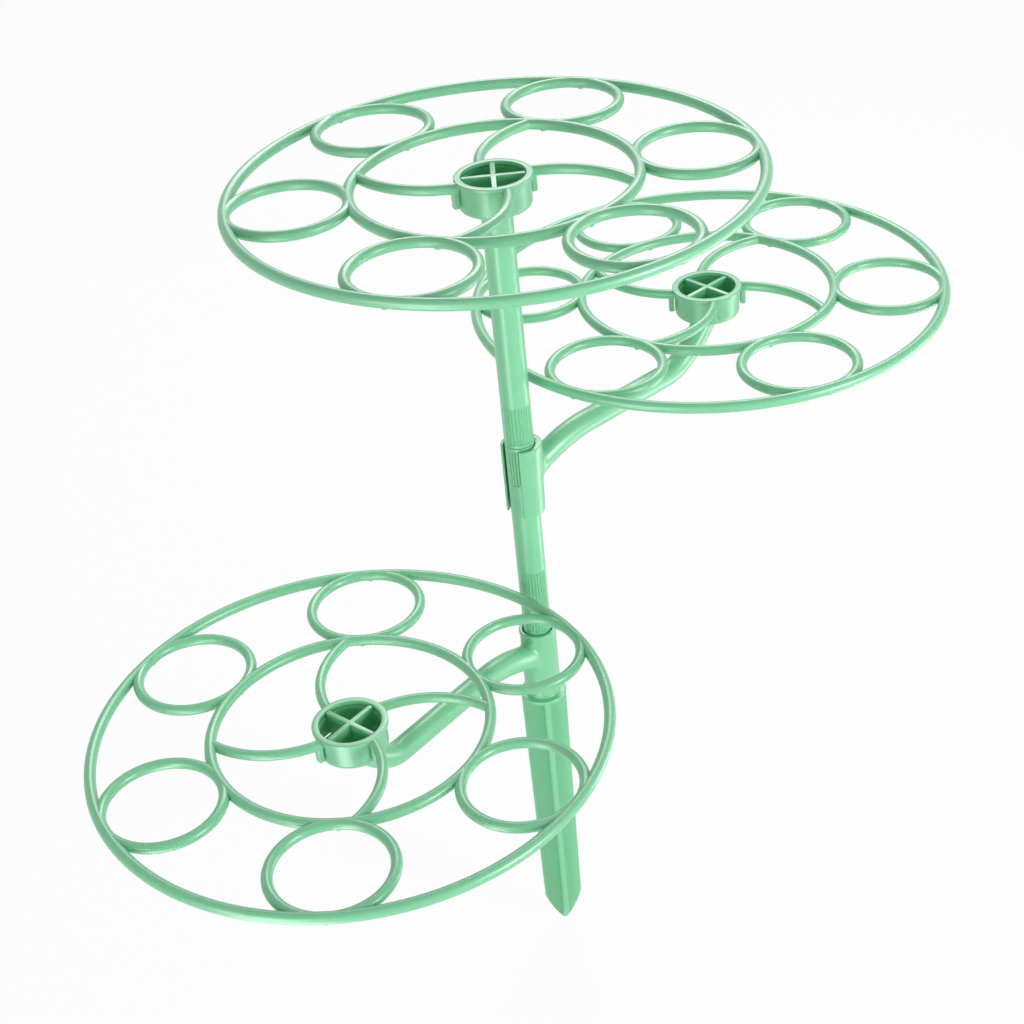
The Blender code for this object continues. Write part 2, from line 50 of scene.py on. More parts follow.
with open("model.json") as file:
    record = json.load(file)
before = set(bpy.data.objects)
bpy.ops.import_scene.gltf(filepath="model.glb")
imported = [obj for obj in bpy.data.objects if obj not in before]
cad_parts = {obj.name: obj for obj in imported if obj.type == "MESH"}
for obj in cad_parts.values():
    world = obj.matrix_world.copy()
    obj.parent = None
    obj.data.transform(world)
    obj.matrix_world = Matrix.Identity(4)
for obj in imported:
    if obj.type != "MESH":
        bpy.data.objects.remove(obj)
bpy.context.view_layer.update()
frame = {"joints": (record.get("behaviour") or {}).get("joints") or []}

# Fineness of the meshes, as sides round a circle
POLE_SIDES = 96
CUP_SIDES = 72
SOCKET_SIDES = 64
SMALL_SIDES = 24
GROOVE_SIDES = 12

# Working lengths in metres
SAME_POINT = 1e-6    # points closer than this are merged
CORE = 0.001         # radius at which a solid pole's profile starts
CUP_CORE = 0.004     # radius at which a cup's floor starts
PAST = 0.004         # how far a cutter reaches past what it cuts
SPARE = 0.002        # length that is trimmed off again, or a shallow overlap
BITE = 0.0008        # how far two joined shapes reach into each other
CRISP = 0.0002       # rounding of an edge that looks sharp


# Where the pieces are

def joint_place(child):
    """The place of the joint that carries a body."""
    for joint in frame["joints"]:
        if joint["child"] == child:
            return Vector(joint["pos_m"])
    raise RuntimeError("no joint carries " + child)


def lowest(node):
    """The height of a node's lowest point."""
    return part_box(node)[0].z


# What a user can set

def length(label, text, value):
    return FloatProperty(name=label, description=text, default=value, min=0.0, unit="LENGTH", precision=5)


def offset(label, text, value):
    return FloatProperty(name=label, description=text, default=value, unit="LENGTH", precision=5)


def angle(label, text, degrees):
    return FloatProperty(name=label, description=text, default=math.radians(degrees), subtype="ANGLE")


def count(label, text, value):
    return IntProperty(name=label, description=text, default=value, min=3)


def colour(label, text, value):
    return FloatVectorProperty(
        name=label, description=text, default=value, size=3, min=0.0, max=1.0, subtype="COLOR"
    )


class RackTraySizes(PropertyGroup):
    """Sizes of one tray, from its plane."""

    outer_r: length("Outer ring", "Radius of the outer ring's centre line", 0.1350)
    outer_rod: length("Outer rod", "Radius of the outer ring's rod", 0.0031)
    inner_r: length("Inner ring", "Radius of the inner ring's centre line", 0.0732)
    inner_rod: length("Inner rod", "Radius of the inner ring's rod", 0.0030)
    small_rod: length("Small rod", "Radius of the small rings' rod", 0.0029)
    small_rings: count("Small rings", "How many small rings lie between the two large ones", 6)
    spokes: count("Spokes", "How many curved spokes join the collar and the inner ring", 4)
    spoke_rod: length("Spoke rod", "Radius of a spoke", 0.0028)
    spoke_end: angle("Spoke end", "Where a spoke meets the inner ring, from the first small ring", 6.1)
    spoke_sweep: angle("Spoke sweep", "How far a spoke's root lies round from its end", 37.5)
    spoke_bow: length("Spoke bow", "How far a spoke bows out from its chord", 0.0092)
    collar_r: length("Collar", "Outer radius of the collar", 0.0201)
    collar_hole: length("Collar hole", "Radius of the hole in the collar", 0.01665)
    collar_low: length("Collar underside", "Height of the collar's underside", 0.0009)
    collar_top: length("Collar top", "Height of the collar's top", 0.0031)
    collar_round: length("Collar rounding", "Rounding of the collar's outer top edge", 0.0005)
    tab_out: length("Tab outside", "Radius of a tab's outer face", 0.0225)
    tab_width: length("Tab width", "Width of a tab", 0.0043)
    tab_top: length("Tab top", "Height of a tab's top", 0.0014)
    tab_drop: length("Tab drop", "How far a tab hangs below the plane", 0.0106)
    tab_turn: angle("Tab turn", "How far a tab is turned from its spoke's root", -2.2)
    nub_r: length("Nub", "Radius of the small nubs under the rings", 0.0017)
    nub_drop: length("Nub drop", "How far a nub reaches below the plane", 0.0034)
    top_turn: angle("Top tray turn", "Turn of the top tray about the vertical", 66.7)
    middle_turn: angle("Middle tray turn", "Turn of the middle tray about the vertical", 50.5)
    lower_turn: angle("Lower tray turn", "Turn of the lower tray about the vertical", 86.7)


class RackCupSizes(PropertyGroup):
    """Sizes of a cup, from the tray's plane."""

    outer_r: length("Cup", "Outer radius", 0.0188)
    wall: length("Wall", "Thickness of the wall", 0.0026)
    floor: length("Floor", "Thickness of the floor", 0.0051)
    depth: length("Depth", "How far the cup reaches below the plane", 0.0144)
    fillet: length("Fillet", "Rounding of the lower edge", 0.0030)
    rim_r: length("Rim", "Radius of the rim", 0.0194)
    rim_top: length("Rim top", "Height of the rim", 0.0006)
    rim_thick: length("Rim thickness", "Thickness of the rim", 0.0013)
    cross_thick: length("Cross wall", "Thickness of the cross's walls", 0.0027)
    cross_top: length("Cross top", "Height of the cross", 0.0026)
    cross_reach: length("Cross reach", "Half the cross's width where it stands in the collar", 0.0163)
    drain_length: length("Drain length", "Length of the slot in the floor", 0.0064)
    drain_width: length("Drain width", "Width of the slot in the floor", 0.0020)
    drain_inset: length("Drain inset", "From the wall to the slot", 0.0009)
    drain_web: length("Drain web", "Thickness of the floor at the slot", 0.0013)
    drain_back: length("Drain notch", "How far the notch under the slot starts before it", 0.0046)


class RackPoleSizes(PropertyGroup):
    """Sizes of the poles and the ground stake."""

    pole_r: length("Pole", "Radius of the poles", 0.00815)
    edge: length("Edge", "Rounding of a pole's ends", 0.0004)
    socket_r: length("Socket", "Radius of the socket in a pole's lower end", 0.0062)
    spigot_r: length("Spigot", "Radius of the spigot on a pole's upper end", 0.0059)
    spigot_length: length("Spigot length", "Height of the spigot", 0.020)
    closed_end: length("Closed end", "Thickness above the socket", 0.004)
    mid_length: length("Middle pole", "Length of the middle pole", 0.1152)
    upper_length: length("Upper pole", "Length of the upper pole up to its cup", 0.1388)
    pole_turn: angle("Pole turn", "Turn of the grip bands about the vertical", -85.0)
    stake_turn: angle("Stake turn", "Turn of the stake about the vertical", -84.5)
    cross_turn: angle("Top cross turn", "Turn of the top cup's cross, from the pole's", 85.0)
    flutes: count("Flutes", "How many flutes fill one side of a grip band", 9)
    flute_pitch: angle("Flute pitch", "Turn from one flute to the next", 12.0)
    flute_r: length("Flute", "Radius of the groove's round floor", 0.00070)
    flute_depth: length("Flute depth", "Depth of a groove", 0.00070)
    plain_ring: length("Plain ring", "From a pole's end to the grip band", 0.0017)
    stub_grip: length("Stub grip", "Height of the stub's grip band", 0.0074)
    mid_low_grip: length("Low grip", "Height of the middle pole's lower grip band", 0.0303)
    mid_top_grip: length("Top grip", "Height of the middle pole's upper grip band", 0.0226)
    upper_grip: length("Upper grip", "Height of the upper pole's grip band", 0.0233)
    stub_top: length("Stub", "Height of the stub above the soil", 0.0595)
    disc_r: length("Disc", "Radius of the soil disc", 0.0137)
    disc_thick: length("Disc thickness", "Thickness of the soil disc", 0.0024)
    neck_r: length("Neck", "Radius of the neck", 0.0097)
    neck_top: length("Neck top", "Height of the neck", 0.0075)
    fin_thick: length("Fin", "Thickness of a fin", 0.0034)
    fin_top: length("Fin top", "Half the width of the fins under the disc", 0.0134)
    fin_low: length("Fin foot", "Half the width of the fins above the point", 0.0117)
    fin_length: length("Fin length", "Height of the fins above the point", 0.1665)
    tip_length: length("Point", "Height of the point", 0.0215)
    tip_half: length("Point end", "Half the width of the point's blunt end", 0.0018)
    tip_bulge: length("Point bulge", "How far the point's sides stand out from straight ones", 0.0011)
    fin_edge: length("Fin edge", "Rounding of the fins' long edges", 0.0009)


class RackArmSizes(PropertyGroup):
    """Sizes of the arms, the sleeve and the snap clip."""

    rod_r: length("Arm", "Radius of an arm", 0.0066)
    reach: length("Reach", "From the pole's axis to the cup's", 0.1542)
    drop: length("Drop", "From the tray's plane down to the arm", 0.0401)
    root_run: length("Root run", "Where the arm is level, from the axis", 0.0500)
    root_slope: angle("Root slope", "Slope of the arm where it leaves the pole", 34.0)
    root_ease: length("Root ease", "How slowly the arm turns level", 0.0200)
    sleeve_lift: length("Sleeve arm lift", "Where the lower arm starts to climb, from the axis", 0.1212)
    clip_lift: length("Clip arm lift", "Where the clip arm starts to climb, from the axis", 0.1162)
    lift_ease: length("Lift ease", "How slowly an arm starts to climb", 0.0120)
    cup_slope: angle("Cup slope", "Slope of an arm where it meets the cup", 52.0)
    cup_ease: length("Cup ease", "How slowly an arm takes the cup's slope", 0.0148)
    into_cup: length("Into cup", "How far the arm runs into the cup", 0.0056)
    grain: length("Grain", "Grain of the mesh on which the arm's ends are blended", 0.0006)
    even_rounds: count("Even rounds", "How often the whole piece is smoothed", 8)
    blend_rounds: count("Blend rounds", "How often the arm's root is smoothed", 120)
    blend_near: length("Blend core", "Radius round the root that is smoothed in full", 0.0080)
    blend_far: length("Blend reach", "Radius round the root where the smoothing ends", 0.0180)
    sleeve_length: length("Sleeve", "Length of the sleeve", 0.0409)
    sleeve_bore: length("Sleeve bore", "Radius of the sleeve's bore", 0.0088)
    sleeve_r: length("Sleeve radius", "Outer radius of the sleeve", 0.01065)
    sleeve_rim: length("Sleeve rim", "How far the sleeve's rim stands out", 0.0003)
    sleeve_rim_height: length("Rim height", "Height of the sleeve's rim", 0.0024)
    sleeve_arm: length("Sleeve arm", "Height of the arm on the sleeve", 0.0355)
    sleeve_root: length("Sleeve root", "How far the arm's root lies below the arm", 0.0098)
    sleeve_flare: FloatProperty(name="Sleeve flare", description="Swelling of the arm's root", default=1.20)
    clip_length: length("Clip", "Length of the snap clip", 0.0430)
    clip_r: length("Clip radius", "Outer radius of the clip's upper end", 0.01145)
    clip_foot_r: length("Clip foot", "Outer radius of the clip's lower end", 0.01075)
    clip_bore: length("Clip bore", "Radius of the clip's bore", 0.0090)
    clip_bore_shift: offset("Bore shift", "From the pole's axis to the bore's", -0.0002)
    clip_shift: offset("Top shift", "From the pole's axis to the clip's outer round at its top", 0.0012)
    clip_foot_shift: offset("Foot shift", "From the pole's axis to the outer round at its foot", 0.00035)
    clip_mouth: angle("Clip mouth", "Opening of the clip's mouth", 86.0)
    lip_r: length("Lip", "Radius of the round edges of the clip's mouth", 0.00067)
    edge_round: length("End rounding", "Rounding of the ends of the sleeve and the clip", 0.0005)
    edge_ring: length("End ring", "Height over which the ends are finished", 0.0020)
    clip_arm: length("Clip arm", "Height of the arm on the clip", 0.0338)
    clip_root: length("Clip root", "How far the arm's root lies below the arm", 0.0088)
    clip_flare: FloatProperty(name="Clip flare", description="Swelling of the arm's root", default=1.05)


class RackFinish(PropertyGroup):
    """Colour and gloss of the plastic."""

    mint: colour("Mint", "Main colour of the plastic", (0.212, 0.645, 0.350))
    mint_deep: colour("Deep mint", "Colour in the deeper patches", (0.202, 0.631, 0.338))
    gloss_low: FloatProperty(name="Smoothest", description="Least roughness", default=0.32, min=0, max=1)
    gloss_high: FloatProperty(name="Roughest", description="Most roughness", default=0.36, min=0, max=1)


class RackStudio(PropertyGroup):
    """Camera, lamps and floor."""

    eye: FloatVectorProperty(
        name="Camera", description="Place of the camera", default=(0.0, -0.8438, 0.6841), subtype="XYZ"
    )
    yaw: angle("Yaw", "Turn of the camera to the left", 0.532)
    pitch: angle("Pitch", "Tilt of the camera below the horizon", 33.29)
    roll: angle("Roll", "Tilt of the camera to the right", 5.89)
    lens: FloatProperty(name="Lens", description="Focal length", default=63.48, subtype="DISTANCE_CAMERA")
    floor_gap: length("Floor gap", "From the stake's tip down to the floor", 0.0010)
    floor_half: length("Floor", "Half the width of the floor", 6.0)
    floor_glow: FloatProperty(name="Floor glow", description="Share of plain white", default=0.95)
    air: FloatProperty(name="Air", description="Strength of the light from all round", default=0.18)


# Modelling steps

def pick(*items):
    """Select these objects alone and make the first one active."""
    bpy.ops.object.select_all(action="DESELECT")
    for item in items:
        item.select_set(True)
    if items:
        bpy.context.view_layer.objects.active = items[0]


def settle(item):
    """Put an object's place, turn and scale into its mesh."""
    pick(item)
    bpy.ops.object.transform_apply(location=True, rotation=True, scale=True)
    return item


def clean(item):
    """Merge doubled points and turn the faces outward."""
    pick(item)
    bpy.ops.object.mode_set(mode="EDIT")
    bpy.ops.mesh.select_all(action="SELECT")
    bpy.ops.mesh.remove_doubles(threshold=SAME_POINT)
    bpy.ops.mesh.normals_make_consistent(inside=False)
    bpy.ops.object.mode_set(mode="OBJECT")
    return item


def move(item, place, turn=0.0):
    """Turn an object about Z and then move it."""
    item.matrix_world = Matrix.Translation(place) @ Matrix.Rotation(turn, 4, "Z")
    return settle(item)


def turned(profile, sides, closed=False):
    """Draw a circle and extrude it from point to point of a (radius, height) profile."""
    pick()
    radius, height = profile[0]
    fill = "NOTHING" if closed else "NGON"
    bpy.ops.mesh.primitive_circle_add(vertices=sides, radius=radius, fill_type=fill, location=(0, 0, 0))
    item = bpy.context.object
    bpy.ops.object.mode_set(mode="EDIT")
    bpy.ops.transform.translate(value=(0, 0, height))
    rest = profile[1:]
    if closed:
        rest = rest + profile[:1]
    for next_radius, next_height in rest:
        bpy.ops.mesh.extrude_region_move(TRANSFORM_OT_translate={"value": (0, 0, next_height - height)})
        share = next_radius / radius
        bpy.ops.transform.resize(value=(share, share, 1), center_override=(0, 0, 0))
        radius = next_radius
        height = next_height
    bpy.ops.object.mode_set(mode="OBJECT")
    return clean(item)


def rounded(points, steps=4, closed=False):
    """Round the corners of a profile of (radius, height, rounding) points."""
    profile = []
    last = len(points) - 1
    for index, (x, z, rounding) in enumerate(points):
        at_end = index in (0, last) and not closed
        if rounding == 0 or at_end:
            profile.append((x, z))
            continue
        corner = Vector((x, z))
        back = (Vector(points[index - 1][:2]) - corner).normalized()
        ahead = (Vector(points[(index + 1) % len(points)][:2]) - corner).normalized()
        half = back.angle(ahead) / 2
        centre = corner + (back + ahead).normalized() * (rounding / math.sin(half))
        first = corner + back * (rounding / math.tan(half)) - centre
        final = corner + ahead * (rounding / math.tan(half)) - centre
        start = math.atan2(first.y, first.x)
        sweep = (math.atan2(final.y, final.x) - start + math.pi) % (2 * math.pi) - math.pi
        for step in range(steps + 1):
            way = start + sweep * step / steps
            profile.append((centre.x + rounding * math.cos(way), centre.y + rounding * math.sin(way)))
    return profile


def bar(radius, low, high, sides):
    """A round bar along Z, for cutting bores."""
    return turned([(radius, low), (radius, high)], sides)


def block(low, high, turn=0.0):
    """A box between two corners, turned about Z."""
    pick()
    middle = [(a + b) / 2 for a, b in zip(low, high)]
    bpy.ops.mesh.primitive_cube_add(size=1, location=middle)
    item = bpy.context.object
    item.scale = [b - a for a, b in zip(low, high)]
    settle(item)
    return move(item, (0, 0, 0), turn)


def soften(item, width, segments=3, limit=40):
    """Round the sharp edges."""
    pick(item)
    bevel = item.modifiers.new("Edges", "BEVEL")
    bevel.width = width
    bevel.segments = segments
    bevel.limit_method = "ANGLE"
    bevel.angle_limit = math.radians(limit)
    bevel.use_clamp_overlap = True
    bpy.ops.object.modifier_apply(modifier=bevel.name)
    return item


def combine(item, other, way):
    """Join, cut or trim with another object, which is used up."""
    pick(item)
    modifier = item.modifiers.new("Combine", "BOOLEAN")
    modifier.operation = way
    modifier.object = other
    bpy.ops.object.modifier_apply(modifier=modifier.name)
    bpy.data.objects.remove(other)
    return item


def join(item, other):
    return combine(item, other, "UNION")


def cut(item, other):
    return combine(item, other, "DIFFERENCE")


def merge(items):
    """Put several objects into one mesh as they are."""
    pick(*items)
    bpy.ops.object.join()
    return bpy.context.object


def copy(item):
    pick(item)
    bpy.ops.object.duplicate(linked=False)
    return bpy.context.object


def ring(radius, rod, steps, sides=20, centre=(0, 0)):
    """A ring of round rod lying flat."""
    pick()
    bpy.ops.mesh.primitive_torus_add(
        location=(centre[0], centre[1], 0),
        major_radius=radius,
        minor_radius=rod,
        major_segments=steps,
        minor_segments=sides,
    )
    return settle(bpy.context.object)


def rod_along(stations, radius, fineness, steps):
    """A round rod through (place, way, handle before, handle after, swelling) stations."""
    pick()
    bpy.ops.curve.primitive_bezier_curve_add(location=(0, 0, 0))
    item = bpy.context.object
    item.data.dimensions = "3D"
    item.data.resolution_u = steps
    item.data.bevel_depth = radius
    item.data.bevel_resolution = fineness
    item.data.use_fill_caps = True
    knots = item.data.splines[0].bezier_points
    knots.add(len(stations) - len(knots))
    for knot, (place, way, before, after, swell) in zip(knots, stations):
        knot.handle_left_type = "FREE"
        knot.handle_right_type = "FREE"
        knot.co = place
        knot.handle_left = place - way * before
        knot.handle_right = place + way * after
        knot.radius = swell
    pick(item)
    bpy.ops.object.convert(target="MESH")
    return clean(bpy.context.object)


# Finish

def node_of(tree, kind, **values):
    """Add a shader node and set its values."""
    node = tree.nodes.new(kind)
    for name, value in values.items():
        node.inputs[name].default_value = value
    return node


def plastic(name):
    """Satin moulded plastic: faint clouding, uneven gloss and a fine moulded grain."""
    finish = bpy.context.scene.rack_finish
    material = bpy.data.materials.new(name)
    material.use_nodes = True
    tree = material.node_tree
    shader = tree.nodes["Principled BSDF"]
    shader.inputs["IOR"].default_value = 1.50
    shader.inputs["Specular IOR Level"].default_value = 0.9
    place = node_of(tree, "ShaderNodeTexCoord")

    clouds = node_of(tree, "ShaderNodeTexNoise", Scale=38.0, Detail=3.0, Roughness=0.55)
    tree.links.new(place.outputs["Object"], clouds.inputs["Vector"])
    tint = node_of(tree, "ShaderNodeValToRGB")
    tint.color_ramp.elements[0].position = 0.32
    tint.color_ramp.elements[0].color = (*finish.mint_deep, 1)
    tint.color_ramp.elements[1].position = 0.68
    tint.color_ramp.elements[1].color = (*finish.mint, 1)
    tree.links.new(clouds.outputs["Fac"], tint.inputs["Fac"])
    tree.links.new(tint.outputs["Color"], shader.inputs["Base Color"])

    flow = node_of(tree, "ShaderNodeTexNoise", Scale=60.0, Detail=2.0, Roughness=0.5)
    tree.links.new(place.outputs["Object"], flow.inputs["Vector"])
    gloss = node_of(tree, "ShaderNodeMapRange", **{
        "From Min": 0.3,
        "From Max": 0.7,
        "To Min": finish.gloss_low,
        "To Max": finish.gloss_high,
    })
    tree.links.new(flow.outputs["Fac"], gloss.inputs["Value"])
    tree.links.new(gloss.outputs["Result"], shader.inputs["Roughness"])

    grain = node_of(tree, "ShaderNodeTexNoise", Scale=1400.0, Detail=1.0, Roughness=0.5)
    tree.links.new(place.outputs["Object"], grain.inputs["Vector"])
    relief = node_of(tree, "ShaderNodeBump", Strength=0.03, Distance=0.0001)
    tree.links.new(grain.outputs["Fac"], relief.inputs["Height"])
    tree.links.new(relief.outputs["Normal"], shader.inputs["Normal"])
    return material


def dress(item, node, body, sharp=32):
    """Name, shade and colour a finished piece, and let it ride in its node's stead."""
    item.name = node + "_moulding"
    item.data.name = item.name
    item.data.materials.clear()
    item.data.materials.append(plastic(node + "_satin"))
    pick(item)
    bpy.ops.object.shade_smooth_by_angle(angle=math.radians(sharp))
    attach(item, body)
    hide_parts(node)
    return item


# Trays

def spoke(sizes, turn):
    """A curved spoke from the collar to the inner ring, bowed to its left."""
    root_r = (sizes.collar_r + sizes.collar_hole) / 2
    root_turn = sizes.spoke_end + sizes.spoke_sweep
    root = Matrix.Rotation(turn + root_turn, 4, "Z") @ Vector((root_r, 0, 0))
    end = Matrix.Rotation(turn + sizes.spoke_end, 4, "Z") @ Vector((sizes.inner_r, 0, 0))
    chord = end - root
    half = chord.length / 2
    arc_r = (half ** 2 + sizes.spoke_bow ** 2) / (2 * sizes.spoke_bow)
    left = Vector((-chord.y, chord.x, 0)).normalized()
    centre = (root + end) / 2 - left * (arc_r - sizes.spoke_bow)
    half_angle = math.asin(half / arc_r)
    handle = 4 / 3 * math.tan(half_angle / 4) * arc_r
    stations = []
    for share in (1, 0, -1):
        out = Matrix.Rotation(half_angle * share, 3, "Z") @ left
        way = Vector((out.y, -out.x, 0))
        stations.append((centre + out * arc_r, way, handle, handle, 1.0))
    return rod_along(stations, sizes.spoke_rod, fineness=8, steps=14)


def nubs(sizes, small_centre, small_r):
    """Small round pads under the rods where each small ring meets its neighbours."""
    nub_core = 0.0002
    nub_round = 0.0004
    pattern = turned(rounded([
        (nub_core, -sizes.nub_drop, 0),
        (sizes.nub_r, -sizes.nub_drop, nub_round),
        (sizes.nub_r, -sizes.small_rod / 2, 0),
    ]), SMALL_SIDES)
    pads = []
    for index in range(sizes.small_rings):
        turn = 2 * math.pi * index / sizes.small_rings
        for reach in (small_centre - small_r, small_centre + small_r):
            place = (reach * math.cos(turn), reach * math.sin(turn), 0)
            pads.append(move(copy(pattern), place))
    bpy.data.objects.remove(pattern)
    return pads


def model_tray(sizes, cup_rim):
    """Rings, spokes, collar, hanging tabs and nubs of one tray, on its own axis."""
    parts = [ring(sizes.outer_r, sizes.outer_rod, steps=160)]
    small_r = (sizes.outer_r - sizes.inner_r) / 2
    small_centre = (sizes.outer_r + sizes.inner_r) / 2
    for index in range(sizes.small_rings):
        turn = 2 * math.pi * index / sizes.small_rings
        centre = (small_centre * math.cos(turn), small_centre * math.sin(turn))
        parts.append(ring(small_r, sizes.small_rod, steps=64, centre=centre))
    parts.append(ring(sizes.inner_r, sizes.inner_rod, steps=112))
    parts += nubs(sizes, small_centre, small_r)
    body = parts[0]
    for part in parts[1:]:
        join(body, part)

    hole_round = 0.00025
    collar = turned(rounded([
        (sizes.collar_hole, sizes.collar_low, CRISP),
        (sizes.collar_hole, sizes.collar_top, hole_round),
        (sizes.collar_r, sizes.collar_top, sizes.collar_round),
        (sizes.collar_r, sizes.collar_low, CRISP),
    ], closed=True), CUP_SIDES, closed=True)
    half = sizes.tab_width / 2
    tab_root = sizes.collar_hole + 0.001
    tab_edge = 0.0008
    for index in range(sizes.spokes):
        turn = 2 * math.pi * index / sizes.spokes
        root_turn = turn + sizes.spoke_end + sizes.spoke_sweep
        tab = block((tab_root, -half, -sizes.tab_drop), (sizes.tab_out, half, sizes.tab_top))
        soften(tab, tab_edge)
        join(collar, move(tab, (0, 0, 0), root_turn + sizes.tab_turn))
        join(collar, spoke(sizes, turn))
    room_for_cup = 0.00035
    cut(collar, bar(cup_rim + room_for_cup, -sizes.tab_drop - SPARE, sizes.collar_low, CUP_SIDES))
    return join(body, collar)


class RACK_OT_trays(Operator):
    """Model one tray and place a copy on each cup"""

    bl_idname = "rack.trays"
    bl_label = "Trays"

    def execute(self, context):
        scene = context.scene
        sizes = scene.rack_tray
        turns = {
            "tray_top": sizes.top_turn,
            "tray_middle": sizes.middle_turn,
            "tray_lower": sizes.lower_turn,
        }
        pattern = model_tray(sizes, scene.rack_cup.rim_r)
        for node, turn in turns.items():
            tray = copy(pattern)
            move(tray, joint_place(node), turn)
            dress(tray, node, node)
        bpy.data.objects.remove(pattern)
        return {"FINISHED"}


# Cups

def cup_outside(cup):
    """A solid cup with a round lower edge, on its own axis."""
    return turned(rounded([
        (CUP_CORE, -cup.depth, 0),
        (cup.outer_r, -cup.depth, cup.fillet),
        (cup.outer_r, cup.rim_top - cup.rim_thick, 0),
        (cup.outer_r, cup.rim_top, 0),
    ], steps=6), CUP_SIDES)


def cup_rim(cup):
    """The lip round the cup's mouth."""
    return turned(rounded([
        (cup.outer_r - cup.wall / 2, cup.rim_top - cup.rim_thick, 0),
        (cup.rim_r, cup.rim_top - cup.rim_thick, CRISP),
        (cup.rim_r, cup.rim_top, CRISP),
        (cup.outer_r - cup.wall / 2, cup.rim_top, 0),
    ], closed=True), CUP_SIDES, closed=True)


def cross(cup, turn):
    """Two walls that cross in the cup and stand up into the collar."""
    bore = cup.outer_r - cup.wall
    low = cup.floor - cup.depth - BITE
    shoulder = cup.rim_top - cup.rim_thick
    half = cup.cross_thick / 2
    edge = 0.0004
    walls = []
    for extra in (0, math.pi / 2):
        foot = block((-bore - BITE, -half, low), (bore + BITE, half, shoulder))
        head = block((-cup.cross_reach, -half, shoulder - SPARE), (cup.cross_reach, half, cup.cross_top))
        join(foot, soften(head, edge))
        walls.append(move(foot, (0, 0, 0), turn + extra))
    return join(walls[0], walls[1])


def finish_cup(body, cup, place, turn):
    """Add the rim, hollow the cup and stand the cross in it."""
    join(body, move(cup_rim(cup), place))
    bore = cup.outer_r - cup.wall
    inner_round = 0.0008
    hollow = turned(rounded([
        (CUP_CORE, cup.floor - cup.depth, 0),
        (bore, cup.floor - cup.depth, inner_round),
        (bore, cup.rim_top + PAST, 0),
    ]), CUP_SIDES)
    cut(body, move(hollow, place))
    return join(body, move(cross(cup, turn), place))


def cut_drain(body, cup, place):
    """Cut a slot through the cup's floor beside the cross, over a notch that opens outward."""
    beside_cross = 0.0003
    start = cup.cross_thick / 2 + beside_cross
    end = start + cup.drain_length
    outer = cup.drain_inset - (cup.outer_r - cup.wall)
    inner = outer + cup.drain_width
    floor = cup.floor - cup.depth
    slot = block((start, outer, -cup.depth - PAST), (end, inner, floor + BITE))
    cut(body, move(slot, place))
    notch = block(
        (start - cup.drain_back, -cup.outer_r - PAST, -cup.depth - PAST),
        (end, inner + BITE, floor - cup.drain_web),
    )
    return cut(body, move(notch, place))


# Poles and stake

def cut_flutes(body, sizes, low, high):
    """Cut one grip band: round-bottomed grooves on two opposite sides."""
    reach = sizes.pole_r - sizes.flute_depth + sizes.flute_r
    end_r = sizes.flute_r * 0.55
    end_run = 0.0004
    groove = turned([
        (end_r, low),
        (sizes.flute_r, low + end_run),
        (sizes.flute_r, high - end_run),
        (end_r, high),
    ], GROOVE_SIDES)
    move(groove, (reach, 0, 0))
    grooves = []
    for side in (0, math.pi):
        for index in range(sizes.flutes):
            turn = side + (index - (sizes.flutes - 1) / 2) * sizes.flute_pitch
            grooves.append(move(copy(groove), (0, 0, 0), turn))
    bpy.data.objects.remove(groove)
    return cut(body, merge(grooves))


def pole_points(sizes, high):
    """The upper end of a pole's profile, with its spigot, from top to shoulder."""
    top = high + sizes.spigot_length
    lead_in = 0.0009
    foot_round = 0.0003
    return [
        (CORE, top, 0),
        (sizes.spigot_r, top, lead_in),
        (sizes.spigot_r, high, foot_round),
        (sizes.pole_r, high, sizes.edge),
    ]


class RACK_OT_mid_pole(Operator):
    """Model the middle pole with its socket, spigot and grip bands"""

    bl_idname = "rack.mid_pole"
    bl_label = "Middle Pole"

    def execute(self, context):
        sizes = context.scene.rack_pole
        height = sizes.mid_length
        points = pole_points(sizes, height) + [(sizes.pole_r, 0, sizes.edge), (CORE, 0, 0)]
        body = turned(rounded(points), POLE_SIDES)
        cut(body, bar(sizes.socket_r, -PAST, height - sizes.closed_end, SOCKET_SIDES))
        cut_flutes(body, sizes, sizes.plain_ring, sizes.plain_ring + sizes.mid_low_grip)
        top = height - sizes.plain_ring
        cut_flutes(body, sizes, top - sizes.mid_top_grip, top)
        move(body, (0, 0, lowest("mid_pole")), sizes.pole_turn)
        dress(body, "mid_pole", "mid_pole")
        return {"FINISHED"}


class RACK_OT_upper_pole(Operator):
    """Model the upper pole with its socket, grip band and cup"""

    bl_idname = "rack.upper_pole"
    bl_label = "Upper Pole"

    def execute(self, context):
        sizes = context.scene.rack_pole
        cup = context.scene.rack_cup
        height = sizes.upper_length
        flare = 0.0012
        flare_height = 0.0010
        points = [
            (CORE, height + BITE, 0),
            (sizes.pole_r + flare, height + BITE, 0),
            (sizes.pole_r, height - flare_height, flare),
            (sizes.pole_r, 0, sizes.edge),
            (CORE, 0, 0),
        ]
        body = turned(rounded(points), POLE_SIDES)
        cut(body, bar(sizes.socket_r, -PAST, height - sizes.closed_end, SOCKET_SIDES))
        cut_flutes(body, sizes, sizes.plain_ring, sizes.plain_ring + sizes.upper_grip)
        place = (0, 0, height + cup.depth)
        join(body, move(cup_outside(cup), place))
        finish_cup(body, cup, place, sizes.cross_turn)
        move(body, (0, 0, lowest("upper_pole")), sizes.pole_turn)
        dress(body, "upper_pole", "upper_pole")
        return {"FINISHED"}


